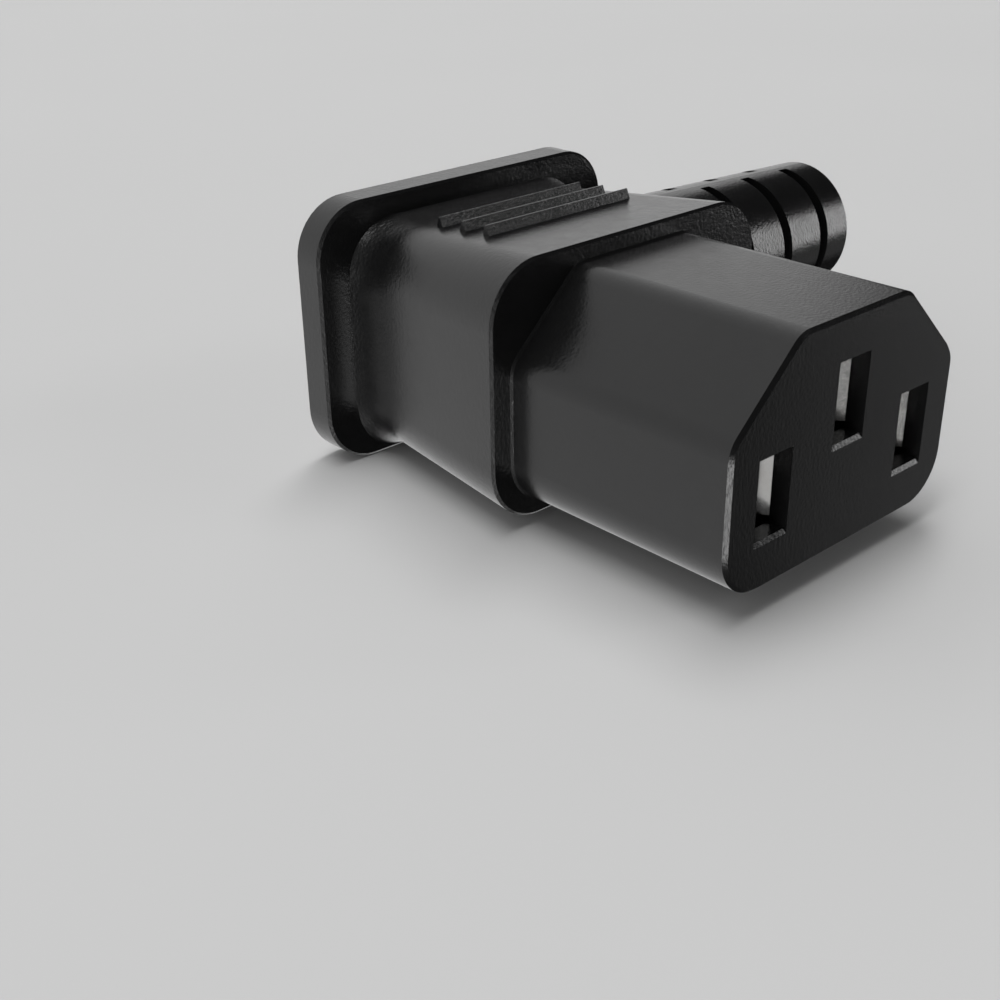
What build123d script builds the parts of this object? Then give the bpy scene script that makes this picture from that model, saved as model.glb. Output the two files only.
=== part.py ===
from build123d import *
from math import cos, radians, sin, sqrt, tan
import os

# A right-angle cord connector for an appliance inlet, moulded on, in millimetres with +Z up.
# The nose points along -Y and the cord leaves along +X. The origin is on the engagement face,
# halfway between the two power slots.

# Slots in the engagement face
power_slot_pitch = 14.0
earth_slot_rise = 4.0
slot_width = 3.1
slot_height = 5.7
slot_ramp_rise = 0.31
slot_ramp_depth = 0.15

# Nose of the contact carrier
nose_length = 17.75
nose_side_margin = 2.55
nose_floor_margin = 3.02
nose_crown_margin = 2.83
crown_width = 10.65
shoulder_drop = 5.4
shoulder_round = 2.0
floor_round = 3.4
face_bevel = 0.25
face_wall = 1.3
root_flare = 0.15

# Shank of the carrier, held in the over-moulding, and the cap behind it
shank_inset = 0.8
shank_length = 1.8
anchor_thickness = 2.2
cap_inset = 0.5
cap_thickness = 1.25
cap_boss_length = 1.0
cavity_clearance = 0.15
core_hole_clearance = 0.1

# Over-moulded body and its rear flange
shoulder_side = 1.72
shoulder_top = 1.27
shoulder_bottom = 1.1
body_length = 16.43
body_round = 4.15
body_front_bevel = 0.2
side_taper = 1.71
top_taper = 1.07
bottom_taper = 0.18
flare_length = 3.0
flare_side_rise = 0.2
flare_top_rise = 0.2
flare_bottom_rise = 0.6
flange_side_lip = 2.6
flange_top_lip = 1.54
flange_bottom_lip = 0.28
flange_thickness = 2.6
flange_round = 4.04
flange_bevel = 0.2

# Grip ribs across the top of the body
rib_count = 3
rib_pitch = 2.38
rib_setback = 7.02
rib_length = 13.6
rib_height = 0.68
rib_base_width = 0.6
rib_ridge_width = 0.1
rib_sink = 0.3

# Slotted strain relief round the cord entry
cord_setback = 11.26
cord_rise = 2.39
cord_bore_radius = 3.6
relief_length = 22.75
relief_end_radius = 5.27
relief_growth = 0.033
relief_end_bevel = 0.4
relief_root_depth = 3.0
groove_count = 3
groove_pitch = 5.06
groove_width = 1.1
groove_web = 0.6
groove_end_setback = 3.79
groove_bridge_angle = 5.5

# Stamped contacts
sheet = 0.4
leaf_height = 4.4
leaf_tip_gap = 3.2
leaf_nip_gap = 1.7
leaf_bend = 1.0
nip_setback = 1.0
box_length = 2.5
box_gap = 3.0
tip_clearance = 0.2
tail_width = 2.0
tail_length = 1.2
strand_barrel_length = 3.0
barrel_step_length = 0.8
core_barrel_length = 2.0
barrel_clearance = 0.25
barrel_seam_angle = 30.0
barrel_step_width = 1.2

# Lead ends inside the moulding
core_radius = 1.2
strand_radius = 0.65
strand_sides = 6
strand_overhang = 0.4
core_gap = 0.2
lead_exit_run = 0.6
lead_turn_run = 3.2
lead_seat_run = 2.8

# Inner moulding round the lead ends
inner_side_wall = 1.5
inner_floor_wall = 1.6
inner_roof_wall = 1.6
inner_rear_wall = 1.6
inner_round = 1.2
inner_neck_wall = 1.0

# Places worked out from the sizes above
slot_places = {
    "line": (-power_slot_pitch / 2, 0.0),
    "neutral": (power_slot_pitch / 2, 0.0),
    "earth": (0.0, earth_slot_rise),
}
nose_half_width = power_slot_pitch / 2 + slot_width / 2 + nose_side_margin
nose_floor = -slot_height / 2 - nose_floor_margin
nose_crown = earth_slot_rise + slot_height / 2 + nose_crown_margin

anchor_start = nose_length + shank_length
carrier_rear = anchor_start + anchor_thickness
cap_rear = carrier_rear + cap_thickness

front_half_width = nose_half_width + shoulder_side
front_floor = nose_floor - shoulder_bottom
front_crown = nose_crown + shoulder_top
waist_half_width = front_half_width - side_taper
waist_floor = front_floor + bottom_taper
waist_crown = front_crown - top_taper
root_half_width = waist_half_width + flare_side_rise
root_floor = waist_floor - flare_bottom_rise
root_crown = waist_crown + flare_top_rise
flange_start = nose_length + body_length
flange_rear = flange_start + flange_thickness
waist_depth = flange_start - flare_length

cord_depth = nose_length + cord_setback
relief_end = waist_half_width + relief_length
cord_seat = power_slot_pitch / 2 + lead_turn_run + lead_seat_run

bundle_radius = (2 * core_radius + core_gap) / sqrt(3)
bundle_angles = {"line": -30.0, "neutral": 210.0, "earth": 90.0}

wire_drop = leaf_height / 2 - sheet - strand_radius
core_barrel_end = carrier_rear - cap_boss_length - barrel_clearance
core_barrel_start = core_barrel_end - core_barrel_length
strand_barrel_end = core_barrel_start - barrel_step_length
strand_barrel_start = strand_barrel_end - strand_barrel_length
box_end = strand_barrel_start - tail_length
box_start = box_end - box_length
leaf_tip = face_wall + tip_clearance
cavity_width = box_gap + 2 * sheet + 2 * cavity_clearance
cavity_height = slot_height + 2 * cavity_clearance


# Helpers for sections that lie across the nose, at a depth behind the engagement face
def across(depth):
    return Plane((0, depth, 0), x_dir=(1, 0, 0), z_dir=(0, -1, 0))


def slab(sketch, start, end):
    return extrude(across(end) * sketch, amount=end - start)


def block(width, start, end, floor, crown):
    return slab(Pos(0, (floor + crown) / 2) * Rectangle(width, crown - floor), start, end)


# Outline of the nose: flat crown, two slanted shoulders and a floor with rounded corners
def nose_outline(grow=0.0):
    shoulder = nose_crown - shoulder_drop
    right = [
        (nose_half_width, nose_floor),
        (nose_half_width, shoulder),
        (crown_width / 2, nose_crown),
    ]
    left = [(-x, z) for x, z in reversed(right)]
    face = make_face(Polyline(*right, *left, close=True))
    face = fillet(face.vertices().group_by(Axis.Y)[0], floor_round)
    bends = face.vertices().filter_by(lambda v: v.Y > shoulder - shoulder_round / 10)
    face = fillet(bends, shoulder_round)
    return offset(face, grow) if grow else face


# Opening of a slot through the face wall, with a ramp that lifts a pin over its lower edge
def make_slot():
    floor = -slot_height / 2
    profile = make_face(Polyline(
        (0, floor),
        (slot_ramp_depth, floor + slot_ramp_rise),
        (face_wall, floor + slot_ramp_rise),
        (face_wall, slot_height / 2),
        (0, slot_height / 2),
        close=True,
    ))
    return extrude(Plane.YZ * profile, amount=slot_width / 2, both=True)


# Contact carrier: the rigid nose with a cavity behind each slot and a grooved shank
def make_carrier():
    nose = slab(nose_outline(), 0, nose_length)
    nose = chamfer(nose.edges().group_by(Axis.Y)[0], face_bevel)
    flare = loft(
        [across(nose_length - root_flare) * nose_outline(),
         across(nose_length) * nose_outline(root_flare)],
        ruled=True,
    )
    shank = slab(nose_outline(-shank_inset), nose_length, anchor_start)
    anchor = slab(nose_outline(), anchor_start, carrier_rear)
    carrier = nose + flare + shank + anchor
    slot = make_slot()
    cavity = slab(Rectangle(cavity_width, cavity_height), face_wall, carrier_rear)
    for x, z in slot_places.values():
        carrier -= Pos(x, 0, z) * (slot + cavity)
    return carrier


# Cap behind the carrier, with a boss in each cavity and a hole for each core
def make_cap():
    cap = slab(nose_outline(-cap_inset), carrier_rear, cap_rear)
    boss = Rectangle(cavity_width - 2 * cavity_clearance, cavity_height - 2 * cavity_clearance)
    boss_start = carrier_rear - cap_boss_length
    hole = Circle(core_radius + core_hole_clearance)
    for x, z in slot_places.values():
        cap += slab(Pos(x, z) * boss, boss_start, carrier_rear)
        cap -= slab(Pos(x, z - wire_drop) * hole, boss_start, cap_rear)
    return cap


# Section of a conductor: its strands are packed to a six-sided bundle
def strand_section(grow=0.0):
    return RegularPolygon(strand_radius + grow, strand_sides, major_radius=False)


# Barrel of sheet crimped round a section of the wire, with its seam on top
def make_barrel(start, end, outside, inside):
    seam_height = 2 * core_radius
    seam_reach = seam_height * tan(radians(barrel_seam_angle / 2))
    seam = make_face(Polyline((0, 0), (seam_reach, seam_height), (-seam_reach, seam_height), close=True))
    return slab(Pos(0, -wire_drop) * (outside - inside - seam), start, end)


# Strip of sheet that steps down from the strand barrel to the core barrel
def make_barrel_step():
    profile = make_face(Polyline(
        (strand_barrel_end, -wire_drop - strand_radius),
        (core_barrel_start, -wire_drop - core_radius),
        (core_barrel_start, -wire_drop - core_radius - sheet),
        (strand_barrel_end, -wire_drop - strand_radius - sheet),
        close=True,
    ))
    return extrude(Plane.YZ * profile, amount=barrel_step_width / 2, both=True)


# Stamped contact about its slot's centre: two spring leaves on a channel, a tail and two barrels
def make_contact():
    leaf_line = FilletPolyline(
        ((leaf_tip_gap + sheet) / 2, leaf_tip),
        ((leaf_nip_gap + sheet) / 2, leaf_tip + nip_setback),
        ((box_gap + sheet) / 2, box_start),
        ((box_gap + sheet) / 2, box_end),
        radius=leaf_bend,
    )
    floor = -leaf_height / 2
    leaf = Pos(0, 0, floor) * extrude(trace(leaf_line, sheet), leaf_height, dir=(0, 0, 1))
    channel = block(box_gap + 2 * sheet, box_start, box_end, floor, floor + sheet)
    tail_end = strand_barrel_start + tail_length / 2
    tail = block(tail_width, box_end, tail_end, floor, floor + sheet)
    strand_barrel = make_barrel(
        strand_barrel_start, strand_barrel_end, strand_section(sheet), strand_section()
    )
    core_barrel = make_barrel(
        core_barrel_start, core_barrel_end, Circle(core_radius + sheet), Circle(core_radius)
    )
    leaves = leaf + mirror(leaf, about=Plane.YZ)
    return leaves + channel + tail + strand_barrel + make_barrel_step() + core_barrel


# Route of each lead from its barrel to the cord seat, where the three lie in a triangle
def lead_path(name, start):
    x, slot_z = slot_places[name]
    z = slot_z - wire_drop
    depth = cord_depth + bundle_radius * cos(radians(bundle_angles[name]))
    height = cord_rise + bundle_radius * sin(radians(bundle_angles[name]))
    return Polyline(
        (x, start, z),
        (x, cap_rear + lead_exit_run, z),
        (x + lead_turn_run, depth, height),
        (cord_seat, depth, height),
    )


def lead_sweep(name, start, section):
    path = lead_path(name, start)
    plane = Plane(path @ 0, x_dir=(1, 0, 0), z_dir=path % 0)
    return sweep(plane * section, path=path, transition=Transition.RIGHT)


def make_insulation(name):
    return lead_sweep(name, core_barrel_start, Circle(core_radius) - strand_section())


def make_strands(name):
    return lead_sweep(name, strand_barrel_start - strand_overhang, strand_section())


# Section in the plane through the cord's axis, turned about that axis
cord_axis = Axis((0, cord_depth, cord_rise), (1, 0, 0))
cord_plane = Plane((0, cord_depth, cord_rise), x_dir=(1, 0, 0), z_dir=(0, -1, 0))


def cord_cylinder(radius, start, end):
    ring_plane = Plane((start, cord_depth, cord_rise), z_dir=(1, 0, 0))
    return extrude(ring_plane * Circle(radius), amount=end - start)


# Inner moulding: a rounded block behind the cap with a neck that ends at the cord seat
def make_inner_block():
    half_width = power_slot_pitch / 2 + core_radius + inner_side_wall
    floor = -wire_drop - core_radius - inner_floor_wall
    roof = cord_rise + bundle_radius + core_radius + inner_roof_wall
    rear = cord_depth + bundle_radius + core_radius + inner_rear_wall
    inner = block(2 * half_width, cap_rear, rear, floor, roof)
    inner = fillet(inner.edges().filter_by(Axis.Y), inner_round)
    return inner + cord_cylinder(cord_bore_radius + inner_neck_wall, 0, cord_seat)


def make_inner_mould(inner_block):
    for name in slot_places:
        inner_block -= lead_sweep(name, cap_rear, Circle(core_radius))
    return inner_block


# Grip rib on the sloping top of the body: a sharp ridge with square ends
def make_rib(depth):
    slope = top_taper / (waist_depth - nose_length)
    height = front_crown - slope * (depth - nose_length)
    plane = Plane((0, depth, height), x_dir=(0, 1, -slope), z_dir=(1, 0, 0))
    flank = (rib_base_width - rib_ridge_width) / 2 / rib_height
    root = rib_base_width / 2 + flank * rib_sink
    ridge = rib_ridge_width / 2
    profile = Polyline(
        (-root, -rib_sink), (root, -rib_sink), (ridge, rib_height), (-ridge, rib_height), close=True
    )
    return extrude(plane * make_face(profile), amount=rib_length / 2, both=True)


# Cone of the strain relief with grooves cut from two sides, half a pitch apart
def relief_radius(x):
    return relief_end_radius + relief_growth * (relief_end - x)


def make_relief():
    root = waist_half_width - relief_root_depth
    outline = make_face(Polyline(
        (root, 0),
        (relief_end, 0),
        (relief_end, relief_end_radius),
        (root, relief_radius(root)),
        close=True,
    ))
    rim = outline.vertices().filter_by(lambda v: v.X > root and v.Y > 0)
    relief = revolve(cord_plane * chamfer(rim, relief_end_bevel), cord_axis)
    for index in range(groove_count):
        front = relief_end - groove_end_setback - index * groove_pitch
        relief -= make_groove(front, groove_bridge_angle)
        relief -= make_groove(front - groove_pitch / 2, 180 + groove_bridge_angle)
    return relief


def make_groove(x, first_angle):
    floor = cord_bore_radius + groove_web
    section = Pos(x, floor) * Rectangle(groove_width, relief_end_radius, align=(Align.CENTER, Align.MIN))
    arc = 180 - 2 * groove_bridge_angle
    return revolve(cord_plane * section, cord_axis, revolution_arc=arc).rotate(cord_axis, first_angle)


# Tapered grip: a plan and a side outline, both flared towards the flange, crossed and rounded
def flared_side(front, waist, root):
    straight = Line((nose_length, front), (waist_depth, waist))
    return straight + TangentArc((waist_depth, waist), (flange_start, root), tangent=straight % 1)


def flared_outline(one_side, other_side):
    front = Line(one_side @ 0, other_side @ 0)
    rear = Line(one_side @ 1, other_side @ 1)
    return make_face(one_side + other_side + front + rear)


def make_grip():
    plan = flared_outline(
        flared_side(front_half_width, waist_half_width, root_half_width),
        flared_side(-front_half_width, -waist_half_width, -root_half_width),
    )
    side = flared_outline(
        flared_side(front_crown, waist_crown, root_crown),
        flared_side(front_floor, waist_floor, root_floor),
    )
    tall = extrude(Plane.XY.rotated((0, 0, 90)) * plan, amount=front_crown - front_floor, both=True)
    grip = tall & extrude(Plane.YZ * side, amount=front_half_width, both=True)
    corners = grip.edges().filter_by(lambda edge: abs((edge @ 1 - edge @ 0).Y) > flare_length / 2)
    grip = fillet(corners, body_round)
    return chamfer(grip.edges().group_by(Axis.Y)[0], body_front_bevel)


def make_flange():
    half_width = root_half_width + flange_side_lip
    floor = root_floor - flange_bottom_lip
    crown = root_crown + flange_top_lip
    plate = RectangleRounded(2 * half_width, crown - floor, flange_round)
    flange = slab(Pos(0, (floor + crown) / 2) * plate, flange_start, flange_rear)
    rims = flange.edges().group_by(Axis.Y)
    return chamfer(rims[0] + rims[-1], flange_bevel)


# Over-moulded body: grip, rear flange, ribs and strain relief round the inner pieces
def make_body(inner_block):
    body = make_grip() + make_flange() + make_relief()
    for index in range(rib_count):
        body += make_rib(nose_length + rib_setback + index * rib_pitch)
    body -= slab(nose_outline(-shank_inset), nose_length, anchor_start)
    body -= slab(nose_outline(), anchor_start, carrier_rear)
    body -= slab(nose_outline(-cap_inset), carrier_rear, cap_rear)
    return body - inner_block - cord_cylinder(cord_bore_radius, cord_seat, relief_end)


def make_nodes():
    inner_block = make_inner_block()
    nodes = {
        "moulded_body": make_body(inner_block),
        "contact_carrier": make_carrier(),
        "carrier_cap": make_cap(),
        "inner_mould": make_inner_mould(inner_block),
    }
    contact = make_contact()
    for name, (x, z) in slot_places.items():
        nodes[f"{name}_contact"] = Pos(x, 0, z) * contact
        nodes[f"{name}_insulation"] = make_insulation(name)
        nodes[f"{name}_strands"] = make_strands(name)
    return nodes


os.makedirs("parts", exist_ok=True)
for node_name, solid in make_nodes().items():
    export_step(solid, f"parts/{node_name}.step")
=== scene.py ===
from math import cos, pi, radians, sin, tan

import bpy
from mathutils import Matrix, Vector


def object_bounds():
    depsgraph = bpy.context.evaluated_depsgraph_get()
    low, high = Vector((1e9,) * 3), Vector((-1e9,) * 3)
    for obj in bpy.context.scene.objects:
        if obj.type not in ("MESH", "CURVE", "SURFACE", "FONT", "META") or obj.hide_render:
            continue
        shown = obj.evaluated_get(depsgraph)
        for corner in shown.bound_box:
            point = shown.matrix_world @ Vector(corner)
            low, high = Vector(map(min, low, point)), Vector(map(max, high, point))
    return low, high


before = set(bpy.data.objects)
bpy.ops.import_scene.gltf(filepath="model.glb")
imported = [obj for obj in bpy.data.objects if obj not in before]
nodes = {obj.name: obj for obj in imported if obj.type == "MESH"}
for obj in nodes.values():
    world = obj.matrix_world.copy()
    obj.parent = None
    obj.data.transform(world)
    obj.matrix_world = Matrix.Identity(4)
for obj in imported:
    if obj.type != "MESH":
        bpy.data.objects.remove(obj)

cad_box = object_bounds()

# Camera, as fitted to the photograph, in metres, degrees and millimetres of lens
CAMERA_PLACE = Vector((-0.066518, -0.042634, 0.036486))
CAMERA_AZIMUTH = -41.95
CAMERA_ELEVATION = 26.925
CAMERA_ROLL = -0.916
CAMERA_LENS = 50.1
SENSOR_WIDTH = 36.0
NEAREST_SEEN = 0.001

# Studio: lengths in metres, directions in degrees as seen from the middle of the object
FLOOR_SIZE = 4.0
FLOOR_DARK = (0.43, 0.43, 0.43)
FLOOR_LIGHT = (0.45, 0.45, 0.45)
FLOOR_CLOUD_PITCH = 0.25
FLOOR_ROUGHNESS = 0.9
FLOOR_GLOSS = 0.1
BACKDROP_TONE = 0.6
SURROUND_AZIMUTH = -35
SURROUND_DARK = 0.016
SURROUND_BRIGHT = 0.86
SURROUND_EDGE = (-0.1, 0.0)
LIGHT_DISTANCE = 3.0

# Mouldings: lengths in metres, and the turn of the normal over which an edge looks rubbed
GRAIN_PITCH = 0.00022
GRAIN_DEPTH = 0.00004
MOTTLE_PITCH = 0.0011
CLOUD_PITCH = 0.008
EDGE_RADIUS = 0.00005
EDGE_SAMPLES = 6
EDGE_TURN = (0.8, 0.99)
PLASTIC_IOR = 1.5
BLACK_PLASTIC = {
    "dark": (0.003, 0.003, 0.0031),
    "light": (0.0038, 0.0038, 0.0039),
    "rubbed": (0.007, 0.007, 0.0072),
    "roughness": (0.22, 0.26),
}
GREY_PLASTIC = {
    "dark": (0.26, 0.26, 0.25),
    "light": (0.3, 0.3, 0.29),
    "rubbed": (0.34, 0.34, 0.33),
    "roughness": (0.42, 0.55),
}
BODY_GRAIN = 0.55
CARRIER_GRAIN = 0.36
FILLER_GRAIN = 0.15

# Tin plate: the rolling lines run along Y
TIN_DULL = (0.6, 0.59, 0.57)
TIN_BRIGHT = (0.68, 0.68, 0.67)
TIN_ROUGHNESS = (0.14, 0.2)
STAIN_PITCH = 0.0022
ROLLING_PITCH = 0.00012
ROLLING_STRETCH = (1.0, 0.05, 1.0)
ROLLING_DEPTH = 0.00001
ROLLING_STRENGTH = 0.05

# Leads: each core's colour and its stripe, and the bare conductor
BROWN = (0.17, 0.075, 0.04), (0.21, 0.095, 0.05)
BLUE = (0.045, 0.13, 0.38), (0.06, 0.17, 0.44)
GREEN_YELLOW = (0.06, 0.32, 0.06), (0.75, 0.6, 0.05)
STRIPE_SCALE = 260.0
STRIPE_EDGE = (0.45, 0.55)
CORE_ROUGHNESS = (0.35, 0.5)
HAZE_PITCH = 0.0009
HAZE_DEPTH = 0.00002
HAZE_STRENGTH = 0.2
# The darker copper is painted shade for the grooves between twisted strands, not a tarnish
COPPER_GROOVE_SHADE = (0.42, 0.2, 0.11)
COPPER_LIGHT = (0.8, 0.45, 0.3)
COPPER_ROUGHNESS = (0.25, 0.4)
TARNISH_PITCH = 0.0006
TWIST_SCALE = 1100.0
TWIST_DEPTH = 0.00008
TWIST_STRENGTH = 0.6


# Node helpers
def new_material(name):
    material = bpy.data.materials.new(name)
    material.use_nodes = True
    return material, material.node_tree, material.node_tree.nodes["Principled BSDF"]


def add(tree, kind, **settings):
    node = tree.nodes.new(kind)
    for key, value in settings.items():
        setattr(node, key, value)
    return node


def object_place(tree):
    return add(tree, "ShaderNodeTexCoord").outputs["Object"]


def noise(tree, place, pitch, detail=3.0):
    node = add(tree, "ShaderNodeTexNoise")
    node.inputs["Scale"].default_value = 1 / pitch
    node.inputs["Detail"].default_value = detail
    tree.links.new(place, node.inputs["Vector"])
    return node.outputs["Fac"]


def slanted_bands(tree, place, scale):
    node = add(tree, "ShaderNodeTexWave", bands_direction="DIAGONAL")
    node.inputs["Scale"].default_value = scale
    tree.links.new(place, node.inputs["Vector"])
    return node.outputs["Fac"]


def spread(tree, value, low, high, start=0.3, end=0.7):
    node = add(tree, "ShaderNodeMapRange")
    tree.links.new(value, node.inputs["Value"])
    node.inputs["From Min"].default_value = start
    node.inputs["From Max"].default_value = end
    node.inputs["To Min"].default_value = low
    node.inputs["To Max"].default_value = high
    return node.outputs["Result"]


# A colour blend's own sockets come after those for numbers and vectors
def blend_colours(tree, share, first, second):
    node = add(tree, "ShaderNodeMix", data_type="RGBA")
    tree.links.new(share, node.inputs["Factor"])
    for socket, colour in ((node.inputs[6], first), (node.inputs[7], second)):
        if isinstance(colour, tuple):
            socket.default_value = (*colour, 1)
        else:
            tree.links.new(colour, socket)
    return node.outputs[2]


# Share of an edge's rub: where the rounded normal leaves the true one
def edge_share(tree):
    rounded = add(tree, "ShaderNodeBevel", samples=EDGE_SAMPLES)
    rounded.inputs["Radius"].default_value = EDGE_RADIUS
    geometry = add(tree, "ShaderNodeNewGeometry")
    dot = add(tree, "ShaderNodeVectorMath", operation="DOT_PRODUCT")
    tree.links.new(rounded.outputs["Normal"], dot.inputs[0])
    tree.links.new(geometry.outputs["True Normal"], dot.inputs[1])
    return spread(tree, dot.outputs["Value"], 1, 0, *EDGE_TURN)


def bump(tree, shader, height, distance, strength):
    node = add(tree, "ShaderNodeBump")
    node.inputs["Distance"].default_value = distance
    node.inputs["Strength"].default_value = strength
    tree.links.new(height, node.inputs["Height"])
    tree.links.new(node.outputs["Normal"], shader.inputs["Normal"])


# Moulded plastic with a fine spark-eroded grain, faint clouds and rubbed edges
def moulding(name, dark, light, rubbed, roughness, grain):
    material, tree, shader = new_material(name)
    place = object_place(tree)
    clouds = spread(tree, noise(tree, place, CLOUD_PITCH), 0, 1)
    body = blend_colours(tree, clouds, dark, light)
    worn = blend_colours(tree, edge_share(tree), body, rubbed)
    tree.links.new(worn, shader.inputs["Base Color"])
    mottle = noise(tree, place, MOTTLE_PITCH)
    tree.links.new(spread(tree, mottle, *roughness), shader.inputs["Roughness"])
    shader.inputs["IOR"].default_value = PLASTIC_IOR
    bump(tree, shader, noise(tree, place, GRAIN_PITCH, detail=2.0), GRAIN_DEPTH, grain)
    return material


# Tin-plated sheet with stains and faint rolling lines
def plated_sheet(name):
    material, tree, shader = new_material(name)
    place = object_place(tree)
    stretch = add(tree, "ShaderNodeMapping")
    stretch.inputs["Scale"].default_value = ROLLING_STRETCH
    tree.links.new(place, stretch.inputs["Vector"])
    lines = noise(tree, stretch.outputs["Vector"], ROLLING_PITCH, detail=2.0)
    stains = spread(tree, noise(tree, place, STAIN_PITCH), 0, 1)
    tree.links.new(blend_colours(tree, stains, TIN_DULL, TIN_BRIGHT), shader.inputs["Base Color"])
    shader.inputs["Metallic"].default_value = 1.0
    tree.links.new(spread(tree, lines, *TIN_ROUGHNESS), shader.inputs["Roughness"])
    bump(tree, shader, lines, ROLLING_DEPTH, ROLLING_STRENGTH)
    return material


# Extruded insulation with a second colour in stripes, faint where the two are close
def insulation(name, colour, stripe):
    material, tree, shader = new_material(name)
    place = object_place(tree)
    stripes = spread(tree, slanted_bands(tree, place, STRIPE_SCALE), 0, 1, *STRIPE_EDGE)
    tree.links.new(blend_colours(tree, stripes, colour, stripe), shader.inputs["Base Color"])
    haze = noise(tree, place, HAZE_PITCH)
    tree.links.new(spread(tree, haze, *CORE_ROUGHNESS), shader.inputs["Roughness"])
    bump(tree, shader, haze, HAZE_DEPTH, HAZE_STRENGTH)
    return material


# Bare copper with the twist of its strands; the colour bands are painted shade, darker in the grooves
# between strands where the bump sinks and the plain copper colour on the crowns
def strands(name):
    material, tree, shader = new_material(name)
    place = object_place(tree)
    twist = slanted_bands(tree, place, TWIST_SCALE)
    tree.links.new(blend_colours(tree, twist, COPPER_GROOVE_SHADE, COPPER_LIGHT), shader.inputs["Base Color"])
    shader.inputs["Metallic"].default_value = 1.0
    tarnish = noise(tree, place, TARNISH_PITCH)
    tree.links.new(spread(tree, tarnish, *COPPER_ROUGHNESS), shader.inputs["Roughness"])
    bump(tree, shader, twist, TWIST_DEPTH, TWIST_STRENGTH)
    return material


def dress_nodes():
    black_carrier = moulding("black_carrier", **BLACK_PLASTIC, grain=CARRIER_GRAIN)
    contact_metal = plated_sheet("contact_metal")
    copper_strands = strands("copper_strands")
    node_materials = {
        "moulded_body": moulding("black_moulding", **BLACK_PLASTIC, grain=BODY_GRAIN),
        "contact_carrier": black_carrier,
        "carrier_cap": black_carrier,
        "inner_mould": moulding("grey_filler", **GREY_PLASTIC, grain=FILLER_GRAIN),
        "line_insulation": insulation("brown_insulation", *BROWN),
        "neutral_insulation": insulation("blue_insulation", *BLUE),
        "earth_insulation": insulation("green_yellow_insulation", *GREEN_YELLOW),
    }
    for pole in ("line", "neutral", "earth"):
        node_materials[f"{pole}_contact"] = contact_metal
        node_materials[f"{pole}_strands"] = copper_strands
    for name, material in node_materials.items():
        mesh = nodes[name].data
        mesh.materials.clear()
        mesh.materials.append(material)


# Pale floor under the lowest edge, left out of the gloss as in a light tent
def make_floor():
    bpy.ops.mesh.primitive_plane_add(size=FLOOR_SIZE, location=(0, 0, cad_box[0][2]))
    floor = bpy.context.object
    floor.name = "floor"
    material, tree, shader = new_material("floor_paper")
    clouds = spread(tree, noise(tree, object_place(tree), FLOOR_CLOUD_PITCH), 0, 1)
    tree.links.new(blend_colours(tree, clouds, FLOOR_DARK, FLOOR_LIGHT), shader.inputs["Base Color"])
    shader.inputs["Roughness"].default_value = FLOOR_ROUGHNESS
    shader.inputs["Specular IOR Level"].default_value = FLOOR_GLOSS
    floor.data.materials.append(material)
    floor.visible_glossy = False
    floor.visible_shadow = False


def direction(azimuth, elevation):
    flat = cos(radians(elevation))
    return Vector((sin(radians(azimuth)) * flat, cos(radians(azimuth)) * flat, sin(radians(elevation))))


# Surround: bright behind and to the left, dark in front and to the right, and a plain backdrop to look at
def make_surround():
    world = bpy.data.worlds.new("surround")
    bpy.context.scene.world = world
    world.use_nodes = True
    tree = world.node_tree
    background = tree.nodes["Background"]
    background.inputs["Color"].default_value = (1, 1, 1, 1)
    dot = add(tree, "ShaderNodeVectorMath", operation="DOT_PRODUCT")
    dot.inputs[1].default_value = direction(SURROUND_AZIMUTH, 0)
    tree.links.new(add(tree, "ShaderNodeTexCoord").outputs["Generated"], dot.inputs[0])
    strength = spread(tree, dot.outputs["Value"], SURROUND_DARK, SURROUND_BRIGHT, *SURROUND_EDGE)
    seen = add(tree, "ShaderNodeMix")
    tree.links.new(add(tree, "ShaderNodeLightPath").outputs["Is Camera Ray"], seen.inputs["Factor"])
    tree.links.new(strength, seen.inputs["A"])
    seen.inputs["B"].default_value = BACKDROP_TONE
    tree.links.new(seen.outputs["Result"], background.inputs["Strength"])


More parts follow.
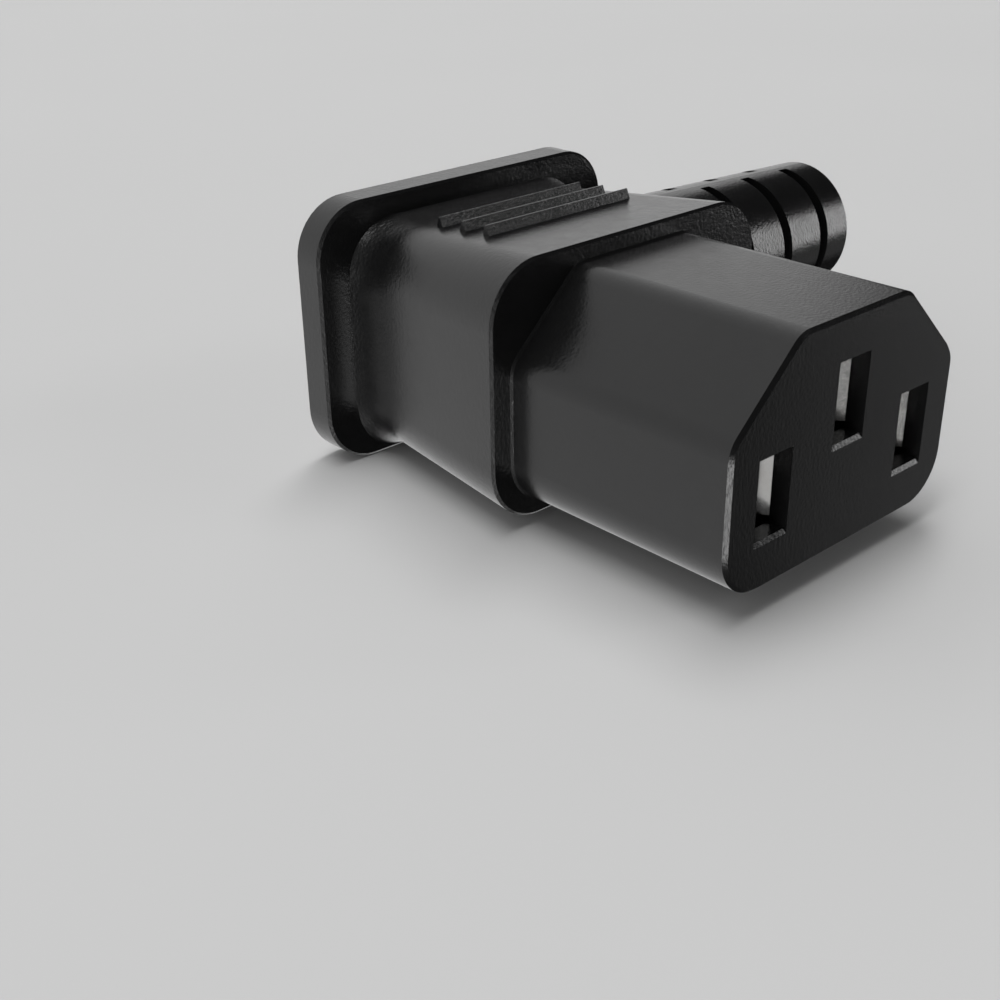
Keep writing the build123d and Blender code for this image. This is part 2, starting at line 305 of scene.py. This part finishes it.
# Soft box that faces the middle of the object; its half sizes are angles as seen from there
def soft_box(name, azimuth, elevation, half_width, half_height, radiance):
    light = bpy.data.lights.new(name, "AREA")
    light.shape = "RECTANGLE"
    light.size = 2 * LIGHT_DISTANCE * tan(radians(half_width))
    light.size_y = 2 * LIGHT_DISTANCE * tan(radians(half_height))
    light.energy = radiance * light.size * light.size_y * pi
    lamp = bpy.data.objects.new(name, light)
    bpy.context.scene.collection.objects.link(lamp)
    middle = (Vector(cad_box[0]) + Vector(cad_box[1])) / 2
    way = direction(azimuth, elevation)
    lamp.location = middle + way * LIGHT_DISTANCE
    lamp.rotation_euler = way.to_track_quat("Z", "Y").to_euler()
    lamp.visible_camera = False


def make_lights():
    soft_box("right_front_box", azimuth=121, elevation=4, half_width=6, half_height=15, radiance=5.8)
    soft_box("right_low_box", azimuth=114, elevation=-23, half_width=11, half_height=10, radiance=0.24)
    soft_box("right_high_box", azimuth=147, elevation=31, half_width=11, half_height=4, radiance=4.0)
    soft_box("left_front_box", azimuth=-155, elevation=-25, half_width=13, half_height=10, radiance=8.0)
    soft_box("left_side_box", azimuth=-92, elevation=-26, half_width=20, half_height=30, radiance=2.2)
    soft_box("overhead_box", azimuth=-23, elevation=85, half_width=34, half_height=8, radiance=9.0)


def make_camera():
    azimuth, elevation, roll = (radians(a) for a in (CAMERA_AZIMUTH, CAMERA_ELEVATION, CAMERA_ROLL))
    back = Vector((sin(azimuth) * cos(elevation), -cos(azimuth) * cos(elevation), sin(elevation)))
    level = Vector((cos(azimuth), sin(azimuth), 0))
    up = back.cross(level)
    right = cos(roll) * level + sin(roll) * up
    head = cos(roll) * up - sin(roll) * level
    camera = bpy.data.cameras.new("camera")
    camera.lens = CAMERA_LENS
    camera.sensor_width = SENSOR_WIDTH
    camera.clip_start = NEAREST_SEEN
    holder = bpy.data.objects.new("camera", camera)
    bpy.context.scene.collection.objects.link(holder)
    turn = Matrix((right, head, back)).transposed()
    holder.matrix_world = Matrix.Translation(CAMERA_PLACE) @ turn.to_4x4()
    bpy.context.scene.camera = holder


dress_nodes()
make_floor()
make_surround()
make_lights()
make_camera()
bpy.context.scene.view_settings.view_transform = "Standard"
